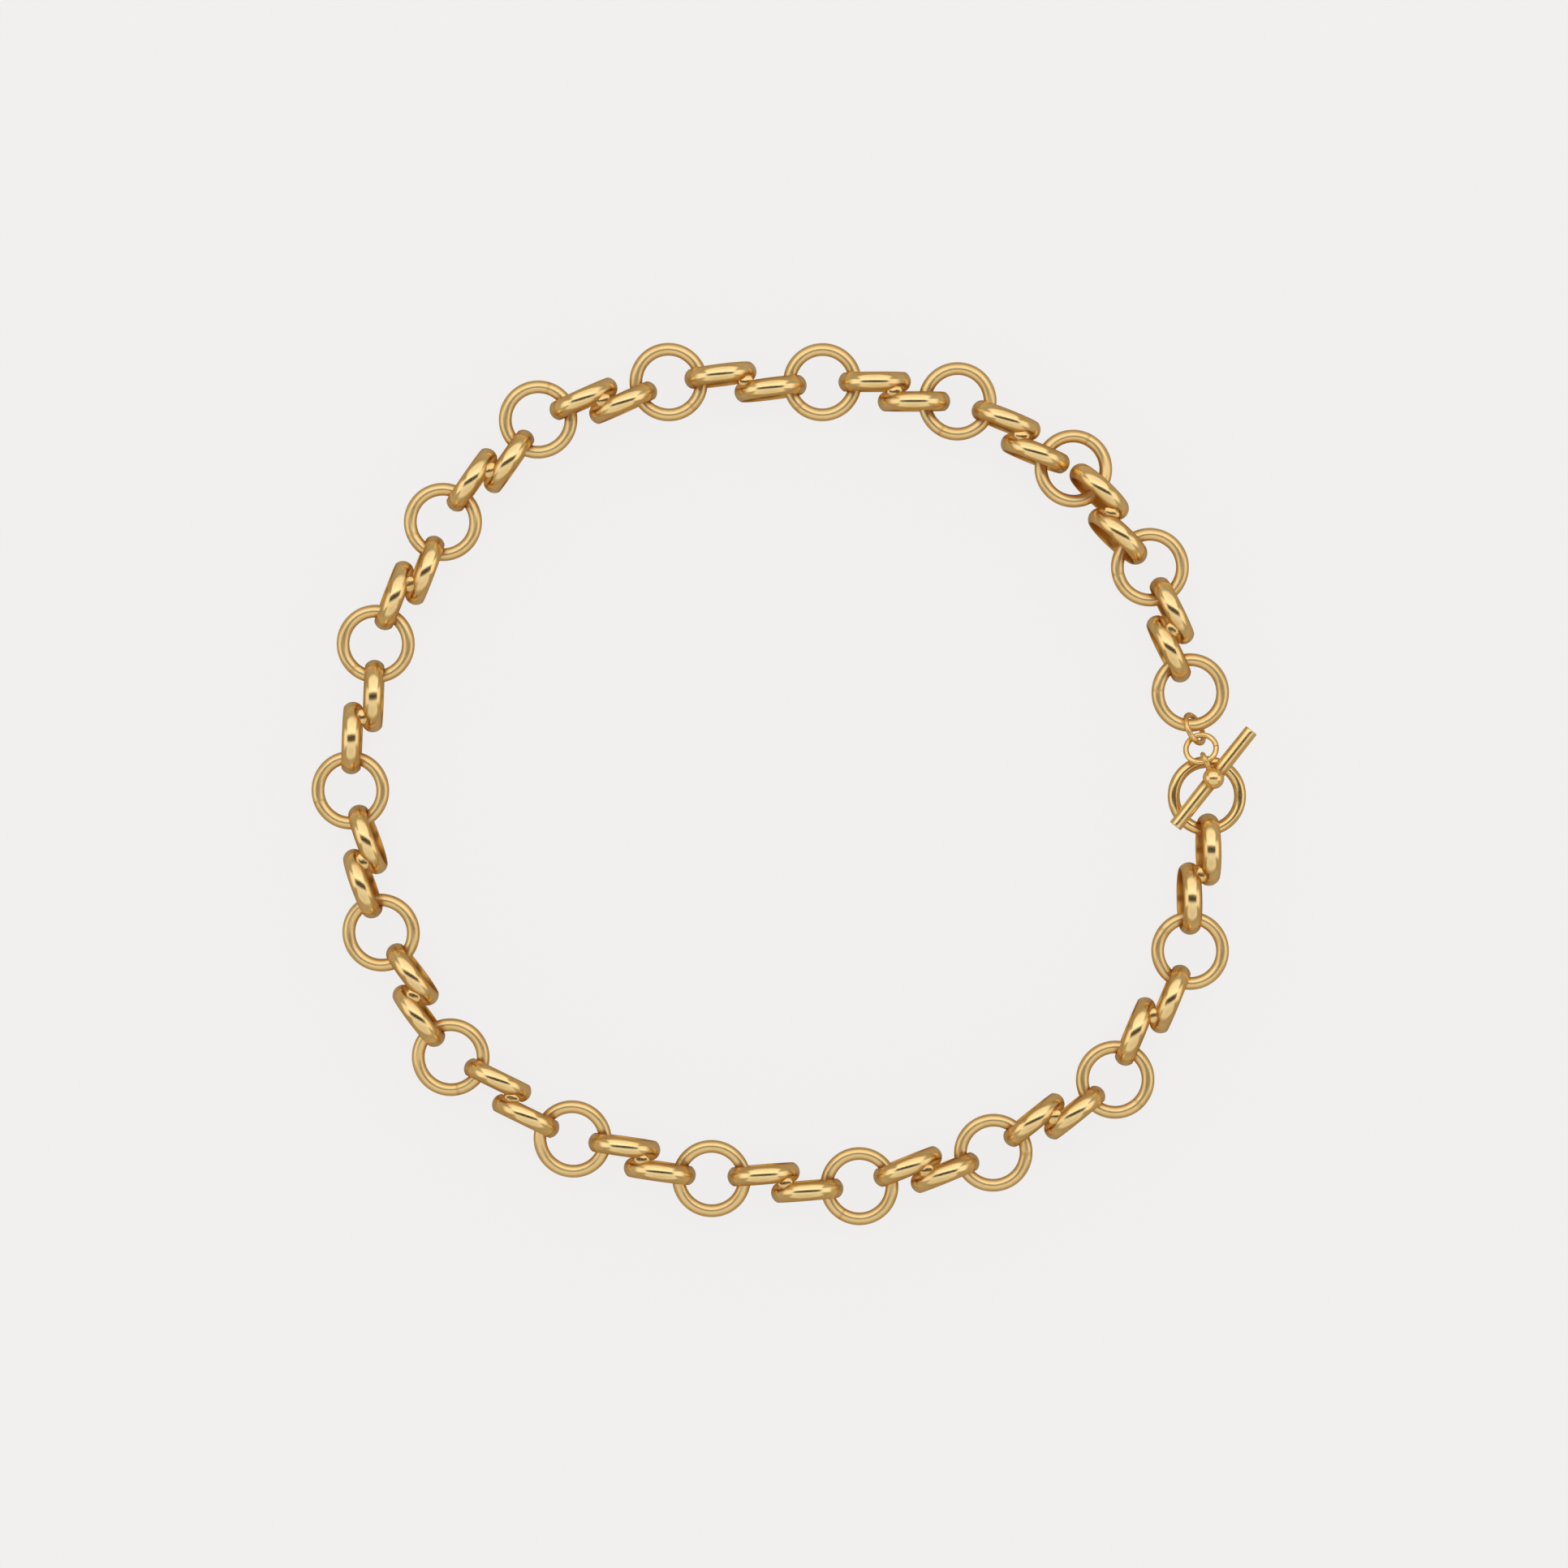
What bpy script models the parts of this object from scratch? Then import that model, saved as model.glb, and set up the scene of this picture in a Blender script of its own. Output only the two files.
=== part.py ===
"""Gold-plated chain necklace with a toggle clasp, laid out as a loop on a table.

The chain alternates plain round-wire rings, which lie nearly flat, with links, which
stand on edge. A link is two domed band loops soldered side by side, each one standing
half a loop further along the chain. The outer loop takes the ring before it and the
inner loop takes the ring after it. A toggle ring ends the chain on one side, and two
jump rings carry the toggle bar on the other side.

Every moving piece hangs from an empty called pivot_NAME. The empty's own Z axis is the
axis that the piece turns about. Units are metres, +Z is up, and the table is at Z = 0.
"""

import math

import bmesh
import bpy
import numpy as np
from mathutils import Matrix, Vector

MM = 0.001
UP = Vector((0.0, 0.0, 1.0))

# Plain rings
RING_WIRE = 2.2 * MM
RING_OUTER = 13.4 * MM
RING_HEIGHT = 5.7 * MM          # table to the middle of a ring

# Links: two band loops side by side
LOOP_OUTER = 12.4 * MM
BAND_WIDTH = 3.2 * MM
BAND_THICKNESS = 1.2 * MM
SOLDER_GAP = 0.2 * MM           # between the two bands, filled by the solder necks
NECK_DIAMETER = 1.8 * MM
NECK_BITE = 0.35 * MM           # how far a neck runs into each band

# Toggle clasp
TOGGLE_WIRE = 2.05 * MM
TOGGLE_OUTER = 13.6 * MM
BAR_LENGTH = 20.9 * MM
BAR_DIAMETER = 2.35 * MM
BALL_DIAMETER = 3.7 * MM
EYE_OUTER = 3.5 * MM
EYE_WIRE = 0.9 * MM
JUMP_WIRE = 0.9 * MM
JUMP_PLAY = 0.6 * MM            # between the two wires that pull on a jump ring

# Clearances
SEAT_GAP = 0.3 * MM             # between a ring's wire and the band that it pulls on
JUMP_GAP = 0.3 * MM             # between a jump ring and the wires that pass through it
CLASP_GAP = 0.3 * MM            # between the toggle bar and the ring that it lies across

# Layout, in order round the loop from the toggle ring. The bearings are each link's
# direction in degrees from +X, and they turn clockwise all the way round.
LINK_BEARINGS = (-96, -120, -149, -166, -183, -196, -214, -241, -258,
                 -280, -299, -313, -344, -360, -368, -390, -412, -432)
# Each link was soldered by hand: the step from its first loop's centre to its second's, mm.
LINK_STEPS = (8.3, 7.4, 6.2, 5.5, 7.2, 6.6, 7.0, 6.3, 6.8,
              7.3, 5.9, 6.2, 5.9, 8.2, 6.7, 6.7, 7.5, 5.6)
# How far each ring has slid in from the end of its loop: (ring before, ring after), as a
# share of the way that it can slide before its wire meets the link's other loop.
LINK_SLACK = ((0, 0),) * 10 + ((.0590, .0590), (.1002, .1002), (.2359, .2359), (0, 0),
                               (0, .6010), (0, .7613), (.9102, .3944), (.4298, .4298))
# Lean of each link in degrees, positive with its top away from the middle of the loop.
LINK_LEAN = (5, 0, 0, 0, 0, 0, -2, 3, 4, 0, -4, 0, 0, 2, 0, 2, 7, 2)
# Roll of each ring in degrees, positive with its outer side low. The toggle ring is first.
RING_ROLL = (9, 6, 0, 4, 5, 8, 10, 9, 10, 6, 4, 4, 0, 0, 0, 2, 9, 3, 6)
CLASP_BEARING = -84             # from the last ring's centre to the jump ring on it
JUMP_BEARING = -78              # from the last ring's wire to the second jump ring
JUMP_LEAN = 29                  # lean of the standing jump ring
EYE_BEARING = -70               # across the second jump ring to the bar's eye
BALL_BEARING = -66              # from the bar's eye to its ball
BALL_PLACE = (1.0 * MM, 3.0 * MM)   # from the toggle ring's centre to the bar's ball
BAR_BEARING = 51.5              # direction of the toggle bar

RING_SEGMENTS = 18
WIRE_SEGMENTS = 6
ROOT_RING = 9                   # the ring across the loop from the clasp

# Worked out from the sizes above
RING_RADIUS = (RING_OUTER - RING_WIRE) / 2
TOGGLE_RADIUS = (TOGGLE_OUTER - TOGGLE_WIRE) / 2
JUMP_OUTER = RING_WIRE + 3 * JUMP_WIRE + 2 * JUMP_GAP + JUMP_PLAY
JUMP_RADIUS = (JUMP_OUTER - JUMP_WIRE) / 2
EYE_RADIUS = (EYE_OUTER - EYE_WIRE) / 2
LOOP_INNER_RADIUS = LOOP_OUTER / 2 - BAND_THICKNESS
LOOP_SHIFT = BAND_WIDTH + SOLDER_GAP
RING_COUNT = len(LINK_BEARINGS)


def clear_scene():
    """Remove every object, so that the script can be run again in an open file."""
    for item in list(bpy.data.objects):
        bpy.data.objects.remove(item, do_unlink=True)


def make_collection(name):
    """Add a collection to the scene."""
    collection = bpy.data.collections.new(name)
    bpy.context.scene.collection.children.link(collection)
    return collection


def gold(name, colour, roughness):
    """A plated gold finish."""
    material = bpy.data.materials.new(name)
    material.use_nodes = True
    shader = material.node_tree.nodes["Principled BSDF"]
    shader.inputs["Base Color"].default_value = (*colour, 1.0)
    shader.inputs["Metallic"].default_value = 1.0
    shader.inputs["Roughness"].default_value = roughness
    material.diffuse_color = (*colour, 1.0)
    return material


# ---------------------------------------------------------------- meshes

def finish_mesh(name, shell, material):
    """Turn a bmesh into smooth-shaded mesh data."""
    bmesh.ops.recalc_face_normals(shell, faces=shell.faces)
    data = bpy.data.meshes.new(name)
    shell.to_mesh(data)
    shell.free()
    data.materials.append(material)
    data.polygons.foreach_set("use_smooth", [True] * len(data.polygons))
    return data


def turned_ring(profile, segments):
    """Spin a closed profile of (radius, height) points once about Z."""
    shell = bmesh.new()
    corners = [shell.verts.new((radius, 0.0, height)) for radius, height in profile]
    edges = [shell.edges.new((corners[i], corners[i - 1])) for i in range(len(corners))]
    bmesh.ops.spin(shell, geom=corners + edges, cent=(0, 0, 0), axis=(0, 0, 1),
                   angle=math.tau, steps=segments, use_merge=True)
    bmesh.ops.remove_doubles(shell, verts=shell.verts, dist=MM / 1000)
    bmesh.ops.recalc_face_normals(shell, faces=shell.faces)
    return shell


def wire_profile(radius, wire, sides=WIRE_SEGMENTS):
    """The cross-section of a round wire, bent to the given radius."""
    turns = [math.tau * i / sides for i in range(sides)]
    return [(radius + wire / 2 * math.cos(t), wire / 2 * math.sin(t)) for t in turns]


def band_profile():
    """The cross-section of a loop's band: flat inside, domed outside."""
    inner = LOOP_INNER_RADIUS
    half = BAND_WIDTH / 2
    shoulder = inner + 0.45 * BAND_THICKNESS
    crown = inner + BAND_THICKNESS
    return [(inner, -0.84 * half), (shoulder, -half), (crown, -0.4 * half),
            (crown, 0.4 * half), (shoulder, half), (inner, 0.84 * half)]


def wire_ring(name, radius, wire, segments, material):
    """A round ring of round wire, its axis along Z."""
    return finish_mesh(name, turned_ring(wire_profile(radius, wire), segments), material)


def join_solids(name, pieces, cutters, material):
    """Unite closed shells into one solid with exact Booleans."""
    objects = []
    for number, shell in enumerate(pieces):
        data = bpy.data.meshes.new(f"{name}_blank_{number}")
        shell.to_mesh(data)
        shell.free()
        blank = bpy.data.objects.new(f"{name}_blank_{number}", data)
        cutters.objects.link(blank)
        blank.display_type = "WIRE"
        blank.hide_render = True
        objects.append(blank)
    body = objects[0]
    for tool in objects[1:]:
        modifier = body.modifiers.new("join", "BOOLEAN")
        modifier.operation = "UNION"
        modifier.solver = "EXACT"
        modifier.object = tool
    bpy.context.view_layer.update()
    evaluated = body.evaluated_get(bpy.context.evaluated_depsgraph_get())
    shell = bmesh.new()
    shell.from_mesh(evaluated.to_mesh())
    evaluated.to_mesh_clear()
    bmesh.ops.remove_doubles(shell, verts=shell.verts, dist=MM / 100)
    bmesh.ops.triangulate(shell, faces=shell.faces)
    for blank in objects:
        bpy.data.objects.remove(blank, do_unlink=True)
    return finish_mesh(name, shell, material)


def cylinder(radius, length, sides, matrix):
    """A closed cylinder along the matrix's Z axis."""
    shell = bmesh.new()
    bmesh.ops.create_cone(shell, cap_ends=True, segments=sides, radius1=radius, radius2=radius,
                          depth=length, matrix=matrix)
    return shell


def link_mesh(name, step, cutters, material):
    """Two band loops side by side along X, joined by necks where they cross.

    The link's own X runs along the chain, Y away from the middle of the necklace and
    Z up when it stands. Its origin is midway between the two loops' centres.
    """
    upright = Matrix.Rotation(math.radians(90), 4, "X")
    pieces = []
    for side in (-1, 1):
        loop = turned_ring(band_profile(), RING_SEGMENTS)
        place = Matrix.Translation((side * step / 2, -side * LOOP_SHIFT / 2, 0.0))
        bmesh.ops.transform(loop, matrix=place @ upright, verts=loop.verts)
        pieces.append(loop)
    middle = LOOP_INNER_RADIUS + BAND_THICKNESS / 2
    crossing = math.sqrt(middle ** 2 - (step / 2) ** 2)
    for side in (-1, 1):
        place = Matrix.Translation((0.0, 0.0, side * crossing)) @ upright
        pieces.append(cylinder(NECK_DIAMETER / 2, SOLDER_GAP + 2 * NECK_BITE, 8, place))
    return join_solids(name, pieces, cutters, material)


def bar_mesh(cutters, material):
    """The toggle bar along X, with a ball at its middle and an eye soldered to the ball."""
    along = Matrix.Rotation(math.radians(90), 4, "Y")
    bar = cylinder(BAR_DIAMETER / 2, BAR_LENGTH, 12, along)
    ball = bmesh.new()
    bmesh.ops.create_uvsphere(ball, u_segments=14, v_segments=9, radius=BALL_DIAMETER / 2,
                              matrix=Matrix.Translation((0, 0, ball_rise())))
    eye = turned_ring(wire_profile(EYE_RADIUS, EYE_WIRE), 12)
    upright = Matrix.Rotation(math.radians(90), 4, "X")
    place = Matrix.Rotation(bar_angle_to_eye(), 4, "Z") @ Matrix.Translation((eye_reach(), 0, 0))
    bmesh.ops.transform(eye, matrix=place @ upright, verts=eye.verts)
    return join_solids("toggle_bar", [bar, ball, eye], cutters, material)


def ball_rise():
    """The ball sits with its underside level with the bar's."""
    return (BALL_DIAMETER - BAR_DIAMETER) / 2


def eye_reach():
    """From the ball's centre to the middle of the eye soldered to it."""
    return BALL_DIAMETER / 2 + EYE_OUTER / 2 - EYE_WIRE / 2


def bar_angle_to_eye():
    """From the bar's own X to the direction of its eye."""
    return math.radians(BALL_BEARING + 180 - BAR_BEARING)


# ---------------------------------------------------------------- layout

def flat(bearing, length=1.0):
    """A horizontal vector on a bearing in radians."""
    return Vector((math.cos(bearing), math.sin(bearing), 0.0)) * length


def wire_bend(radius):
    """How far a ring's wire curves away across half the width of a band."""
    return radius - math.sqrt(radius ** 2 - (BAND_WIDTH / 2) ** 2)


def taut_reach(radius, wire):
    """From a loop's centre to the wire of a ring that pulls on the loop's end."""
    play = LOOP_INNER_RADIUS - wire / 2 - wire_bend(radius) - SEAT_GAP
    drop = LOOP_OUTER / 2 - RING_HEIGHT
    return math.sqrt(play ** 2 - drop ** 2)


def slide_room(step):
    """How far a ring can slide in from the end of its loop before it meets the other loop."""
    to_other_loop = step - LOOP_OUTER / 2
    half_wire = RING_WIRE / 2 + wire_bend(RING_RADIUS)
    return taut_reach(RING_RADIUS, RING_WIRE) + to_other_loop - half_wire


def link_reaches(number):
    """From a link's two loop centres to the centres of the rings before and after it."""
    taut = [RING_RADIUS + taut_reach(RING_RADIUS, RING_WIRE)] * 2
    if number == 0:
        taut[0] = TOGGLE_RADIUS + taut_reach(TOGGLE_RADIUS, TOGGLE_WIRE)
    room = slide_room(LINK_STEPS[number] * MM)
    return [reach - share * room for reach, share in zip(taut, LINK_SLACK[number])]


def link_spans():
    """The distance in plan between the ring before each link and the ring after it."""
    return np.array([math.hypot(sum(link_reaches(number)) + step * MM, LOOP_SHIFT)
                     for number, step in enumerate(LINK_STEPS)])


def clasp_plan():
    """Places on the clasp in plan, measured from the last ring's centre."""
    seat = flat(math.radians(CLASP_BEARING), RING_RADIUS)
    rise = bar_height() - RING_HEIGHT
    hook = JUMP_OUTER / 2 - JUMP_WIRE - JUMP_GAP
    reach = 2 * hook - RING_WIRE / 2 - JUMP_WIRE / 2
    tilt = math.asin(min(0.95, rise / (reach + 2 * JUMP_RADIUS)))
    second = seat + flat(math.radians(JUMP_BEARING), reach * math.cos(tilt))
    eye = second + flat(math.radians(EYE_BEARING), 2 * JUMP_RADIUS * math.cos(tilt))
    ball = eye + flat(math.radians(BALL_BEARING), eye_reach())
    toggle = ball - Vector((*BALL_PLACE, 0.0))
    return {"seat": seat, "hook": hook, "reach": reach, "tilt": tilt,
            "second": second, "eye": eye, "ball": ball, "toggle": toggle}


def bar_height():
    """Height of the toggle bar's axis: clear over the whole toggle ring."""
    high_side = TOGGLE_RADIUS * math.sin(math.radians(RING_ROLL[0]))
    return RING_HEIGHT + high_side + TOGGLE_WIRE / 2 + CLASP_GAP + BAR_DIAMETER / 2


def ring_places():
    """Ring centres in plan. The bearings are eased until the chain meets its clasp."""
    bearings = np.radians(np.array(LINK_BEARINGS, dtype=float))
    spans = link_spans()
    gap = clasp_plan()["toggle"]
    target = np.array((-gap.x, -gap.y))
    for _ in range(20):
        steps = np.stack((spans * np.cos(bearings), spans * np.sin(bearings)))
        slopes = np.stack((-steps[1], steps[0]))
        bearings = bearings + np.linalg.pinv(slopes) @ (target - steps.sum(axis=1))
    steps = np.stack((spans * np.cos(bearings), spans * np.sin(bearings)), axis=1)
    places = np.vstack((np.zeros(2), np.cumsum(steps, axis=0)))
    return [Vector((x, y, RING_HEIGHT)) for x, y in places], bearings


def axes_matrix(x_axis, y_axis, z_axis, place):
    """A placement from three axes and a point."""
    turn = Matrix((x_axis, y_axis, z_axis)).transposed()
    return Matrix.Translation(place) @ turn.to_4x4()


def ring_matrices(places, bearings):
    """Each ring lies across the chain's direction there and rolls about it."""
    matrices = []
    last = len(places) - 1
    for number, place in enumerate(places):
        before = bearings[number - 1] if number else math.radians(CLASP_BEARING)
        after = bearings[number] if number < last else math.radians(CLASP_BEARING - 360)
        if number == 0:
            before = bearings[0] + math.radians(10)
        along = flat((before + after) / 2)
        roll = Matrix.Rotation(math.radians(RING_ROLL[number]), 3, -along)
        normal = roll @ UP
        matrices.append(axes_matrix(along, normal.cross(along), normal, place))
    return matrices


def link_matrix(number, before, after):
    """Stand a link between two rings, so that each ring centre is in its loop's plane."""
    lean = math.radians(LINK_LEAN[number])
    span = after - before
    turn = math.asin(LOOP_SHIFT / (span.length * math.cos(lean)))
    bearing = math.atan2(span.y, span.x) + turn
    ahead = flat(bearing)
    aside = flat(bearing + math.pi / 2)
    across = aside * math.cos(lean) - UP * math.sin(lean)
    step = LINK_STEPS[number] * MM
    pitch = LOOP_SHIFT / step * across.z
    sideways = pitch * math.tan(lean)
    along = ahead * math.sqrt(1 - sideways ** 2 - pitch ** 2) + aside * sideways + UP * pitch
    height = LOOP_OUTER / 2 * math.cos(lean) + BAND_WIDTH / 2 * abs(math.sin(lean))
    reaches = link_reaches(number)
    place = (before + after) / 2 + ahead * (reaches[0] - reaches[1]) / 2
    place.z = height
    place += aside * (height - before.z) * math.tan(lean)
    return axes_matrix(along, across, along.cross(across), place)


def seat_pivot(ring, link, radius, bend_axis):
    """The point where a ring's wire passes through a link, with Z along the wire."""
    normal = ring.to_3x3() @ UP
    across = link.to_3x3() @ Vector((0, 1, 0))
    outward = normal.cross(across).normalized()
    centre = ring.to_translation()
    if outward.dot(link.to_translation() - centre) < 0:
        outward = -outward
    wire = normal.cross(outward) * bend_axis
    return axes_matrix(outward, wire.cross(outward), wire, centre + outward * radius)


# ---------------------------------------------------------------- assembly

class Necklace:
    """Places the pieces and keeps each one's world placement."""

    def __init__(self, collection):
        self.collection = collection
        self.placed = {}

    def pivot(self, name, matrix, parent):
        """An empty on a joint's axis, its Z along the axis."""
        empty = bpy.data.objects.new(f"pivot_{name}", None)
        empty.empty_display_size = 2 * MM
        self.collection.objects.link(empty)
        self.attach(empty, matrix, parent)
        return empty

    def piece(self, name, data, matrix, parent):
        """One sub-part, with its own object."""
        item = bpy.data.objects.new(name, data)
        self.collection.objects.link(item)
        self.attach(item, matrix, parent)
        return item

    def attach(self, item, matrix, parent):
        """Place an object in the world and hang it from its parent."""
        self.placed[item.name] = matrix
        if parent is None:
            item.matrix_local = matrix
            return
        item.parent = parent
        item.matrix_local = self.placed[parent.name].inverted() @ matrix

    def moving(self, name, data, matrix, pivot_matrix, parent):
        """A sub-part that turns about a pivot."""
        pivot = self.pivot(name, pivot_matrix, parent)
        return self.piece(name, data, matrix, pivot)


def build_chain(necklace, rings, links, meshes):
    """Hang both arms of the chain from the root ring."""
    names = ["toggle_ring"] + [f"ring_{number:02d}" for number in range(1, RING_COUNT + 1)]
    data = [meshes["toggle_ring"]] + [meshes["ring"]] * RING_COUNT
    radii = [TOGGLE_RADIUS] + [RING_RADIUS] * RING_COUNT
    items = {ROOT_RING: necklace.piece(names[ROOT_RING], data[ROOT_RING], rings[ROOT_RING], None)}
    steps = [(ring, ring - 1, ring - 1, -1) for ring in range(ROOT_RING, 0, -1)]
    steps += [(ring, ring + 1, ring, 1) for ring in range(ROOT_RING, RING_COUNT)]
    for here, there, between, side in steps:
        link_name = f"link_{between + 1:02d}"
        slide = rings[here] @ Matrix.Rotation(0 if side > 0 else math.pi, 4, "X")
        link = necklace.moving(link_name, meshes[link_name], links[between], slide, items[here])
        swing = seat_pivot(rings[there], links[between], radii[there], side)
        items[there] = necklace.moving(names[there], data[there], rings[there], swing, link)
    return items


def build_clasp(necklace, last_ring, rings, meshes):
    """The two jump rings and the toggle bar, hung from the last ring."""
    plan = clasp_plan()
    centre = rings[-1].to_translation()
    rise = math.sin(plan["tilt"])
    fall = math.cos(plan["tilt"])

    seat = centre + plan["seat"]
    hang = (plan["second"] - plan["seat"]).normalized() * fall + UP * rise
    hook = seat + hang * plan["reach"]
    standing = seat + hang * (plan["hook"] - RING_WIRE / 2)
    leaning = Matrix.Rotation(math.radians(JUMP_LEAN), 3, hang)
    face = leaning @ hang.cross(UP).normalized()
    first = axes_matrix(hang, face.cross(hang), face, standing)
    slide = axes_matrix(*[rings[-1].to_3x3().col[i] for i in range(3)], centre)
    jump_1 = necklace.moving("jump_ring_1", meshes["jump_ring"], first, slide, last_ring)

    across = (plan["eye"] - plan["second"]).normalized() * fall + UP * rise
    level = across.cross(UP).normalized()
    flat_face = level.cross(across)
    middle = hook + across * JUMP_RADIUS
    second = axes_matrix(across, flat_face.cross(across), flat_face, middle)
    swing = axes_matrix(across, flat_face, -level, hook)
    jump_2 = necklace.moving("jump_ring_2", meshes["jump_ring"], second, swing, jump_1)

    eye = middle + across * JUMP_RADIUS
    towards_ball = flat(math.radians(BALL_BEARING))
    ball = eye + towards_ball * eye_reach()
    turn = Matrix.Rotation(math.radians(BAR_BEARING), 4, "Z")
    bar = Matrix.Translation(ball) @ turn
    hang_bar = axes_matrix(across, flat_face, -level, eye)
    necklace.moving("toggle_bar", meshes["toggle_bar"], bar, hang_bar, jump_2)


def centre_on_origin(necklace, root):
    """Slide the whole necklace so that its bounding box stands centred on the origin."""
    bpy.context.view_layer.update()
    corners = []
    for item in necklace.collection.objects:
        if item.type == "MESH":
            corners += [item.matrix_world @ vertex.co for vertex in item.data.vertices]
    low = Vector([min(corner[axis] for corner in corners) for axis in range(3)])
    high = Vector([max(corner[axis] for corner in corners) for axis in range(3)])
    root.location -= Vector(((low.x + high.x) / 2, (low.y + high.y) / 2, low.z))
    bpy.context.view_layer.update()


def main():
    clear_scene()
    necklace = Necklace(make_collection("chain_necklace"))
    cutters = make_collection("blanks")
    ring_gold = gold("ring_gold", (0.83, 0.60, 0.26), 0.22)
    link_gold = gold("link_gold", (0.84, 0.61, 0.28), 0.26)
    clasp_gold = gold("clasp_gold", (0.82, 0.58, 0.25), 0.20)
    meshes = {
        "ring": wire_ring("ring", RING_RADIUS, RING_WIRE, RING_SEGMENTS, ring_gold),
        "toggle_ring": wire_ring("toggle_ring", TOGGLE_RADIUS, TOGGLE_WIRE, RING_SEGMENTS, clasp_gold),
        "jump_ring": wire_ring("jump_ring", JUMP_RADIUS, JUMP_WIRE, 14, clasp_gold),
        "toggle_bar": bar_mesh(cutters, clasp_gold),
    }
    for number, step in enumerate(LINK_STEPS, 1):
        name = f"link_{number:02d}"
        meshes[name] = link_mesh(name, step * MM, cutters, link_gold)
    places, bearings = ring_places()
    rings = ring_matrices(places, bearings)
    links = [link_matrix(number, places[number], places[number + 1]) for number in range(RING_COUNT)]
    items = build_chain(necklace, rings, links, meshes)
    build_clasp(necklace, items[RING_COUNT], rings, meshes)
    centre_on_origin(necklace, items[ROOT_RING])


main()
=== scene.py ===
"""Looks of a gold-plated chain necklace: wire rings, double-loop links and a toggle clasp."""

import logging
import math
import random
from dataclasses import dataclass, field
from enum import Enum

import bmesh
import bpy
import numpy as np
from mathutils import Matrix, Vector, noise


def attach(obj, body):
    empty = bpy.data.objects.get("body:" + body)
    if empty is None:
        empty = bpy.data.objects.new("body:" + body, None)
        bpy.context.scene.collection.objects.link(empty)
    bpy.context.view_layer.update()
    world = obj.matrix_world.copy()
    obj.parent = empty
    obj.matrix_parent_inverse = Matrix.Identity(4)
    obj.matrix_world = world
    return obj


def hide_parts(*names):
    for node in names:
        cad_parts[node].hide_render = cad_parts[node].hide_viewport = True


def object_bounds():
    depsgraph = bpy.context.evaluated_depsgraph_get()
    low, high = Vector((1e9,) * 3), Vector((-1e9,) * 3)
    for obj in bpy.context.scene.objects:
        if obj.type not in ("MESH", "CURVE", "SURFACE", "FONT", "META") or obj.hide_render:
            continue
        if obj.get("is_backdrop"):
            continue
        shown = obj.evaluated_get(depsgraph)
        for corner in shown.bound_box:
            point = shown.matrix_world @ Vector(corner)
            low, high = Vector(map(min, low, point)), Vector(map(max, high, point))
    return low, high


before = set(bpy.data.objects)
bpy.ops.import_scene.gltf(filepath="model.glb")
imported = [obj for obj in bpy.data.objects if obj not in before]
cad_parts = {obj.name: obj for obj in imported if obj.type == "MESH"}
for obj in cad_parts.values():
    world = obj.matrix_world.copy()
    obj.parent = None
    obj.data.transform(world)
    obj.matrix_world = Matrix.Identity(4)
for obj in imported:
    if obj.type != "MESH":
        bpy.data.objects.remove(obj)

LOG = logging.getLogger("necklace")
MM = 0.001
MICRON = 0.000001
UP = Vector((0.0, 0.0, 1.0))
PAINTED_SHADE = "painted_shade"        # vertex attribute of painted shade: 0 on open metal, 1 darkest, in corners, on inner sides and on flanks
RUB = "rub"              # vertex attribute: 1 where neighbours and the table rub the plating
WELD = 0.001 * MM        # corners nearer than this are one
ELLIPSE = 2.0            # the power at which a rounded section is an ellipse

# Features of the plate in each metre.
CLOUDS = 260.0           # patches of thicker and thinner plate
WAVES = 750.0            # the hand polish
GRAINS = 4200.0          # the plate's own grain
STREAKS = 330.0          # rubbing marks, before they are drawn out
STREAK_TURN = (0.35, 0.2, 0.6)
STREAK_STRETCH = (1.0, 14.0, 9.0)

# Where each jump ring closes, as a turn from its own X.
SLIT_TURNS = {"jump_ring_1": 2.2, "jump_ring_2": 0.1}

Triple = tuple[float, float, float]
Colour = Triple


# ---------------------------------------------------------------- shader bench

class Value:
    """A socket that takes part in Python expressions, each of which adds its Math node."""

    def __init__(self, bench: "Bench", socket: bpy.types.NodeSocket) -> None:
        """Wrap one output socket of the bench's material."""
        self.bench = bench
        self.socket = socket

    def _sum(self, operation: str, first: "Value | float", second: "Value | float") -> "Value":
        """Join two operands with a Math node."""
        node = self.bench.add("ShaderNodeMath", {"operation": operation}, {0: first, 1: second})
        return Value(self.bench, node.outputs[0])

    def __add__(self, other: "Value | float") -> "Value":
        """self + other."""
        return self._sum("ADD", self, other)

    def __radd__(self, other: float) -> "Value":
        """other + self."""
        return self._sum("ADD", other, self)

    def __sub__(self, other: "Value | float") -> "Value":
        """self - other."""
        return self._sum("SUBTRACT", self, other)

    def __rsub__(self, other: float) -> "Value":
        """other - self."""
        return self._sum("SUBTRACT", other, self)

    def __mul__(self, other: "Value | float") -> "Value":
        """self * other."""
        return self._sum("MULTIPLY", self, other)

    def __rmul__(self, other: float) -> "Value":
        """other * self."""
        return self._sum("MULTIPLY", other, self)

    def clamped(self) -> "Value":
        """The value held between 0 and 1."""
        node = self.bench.add("ShaderNodeClamp", {}, {"Value": self})
        return Value(self.bench, node.outputs[0])


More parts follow.
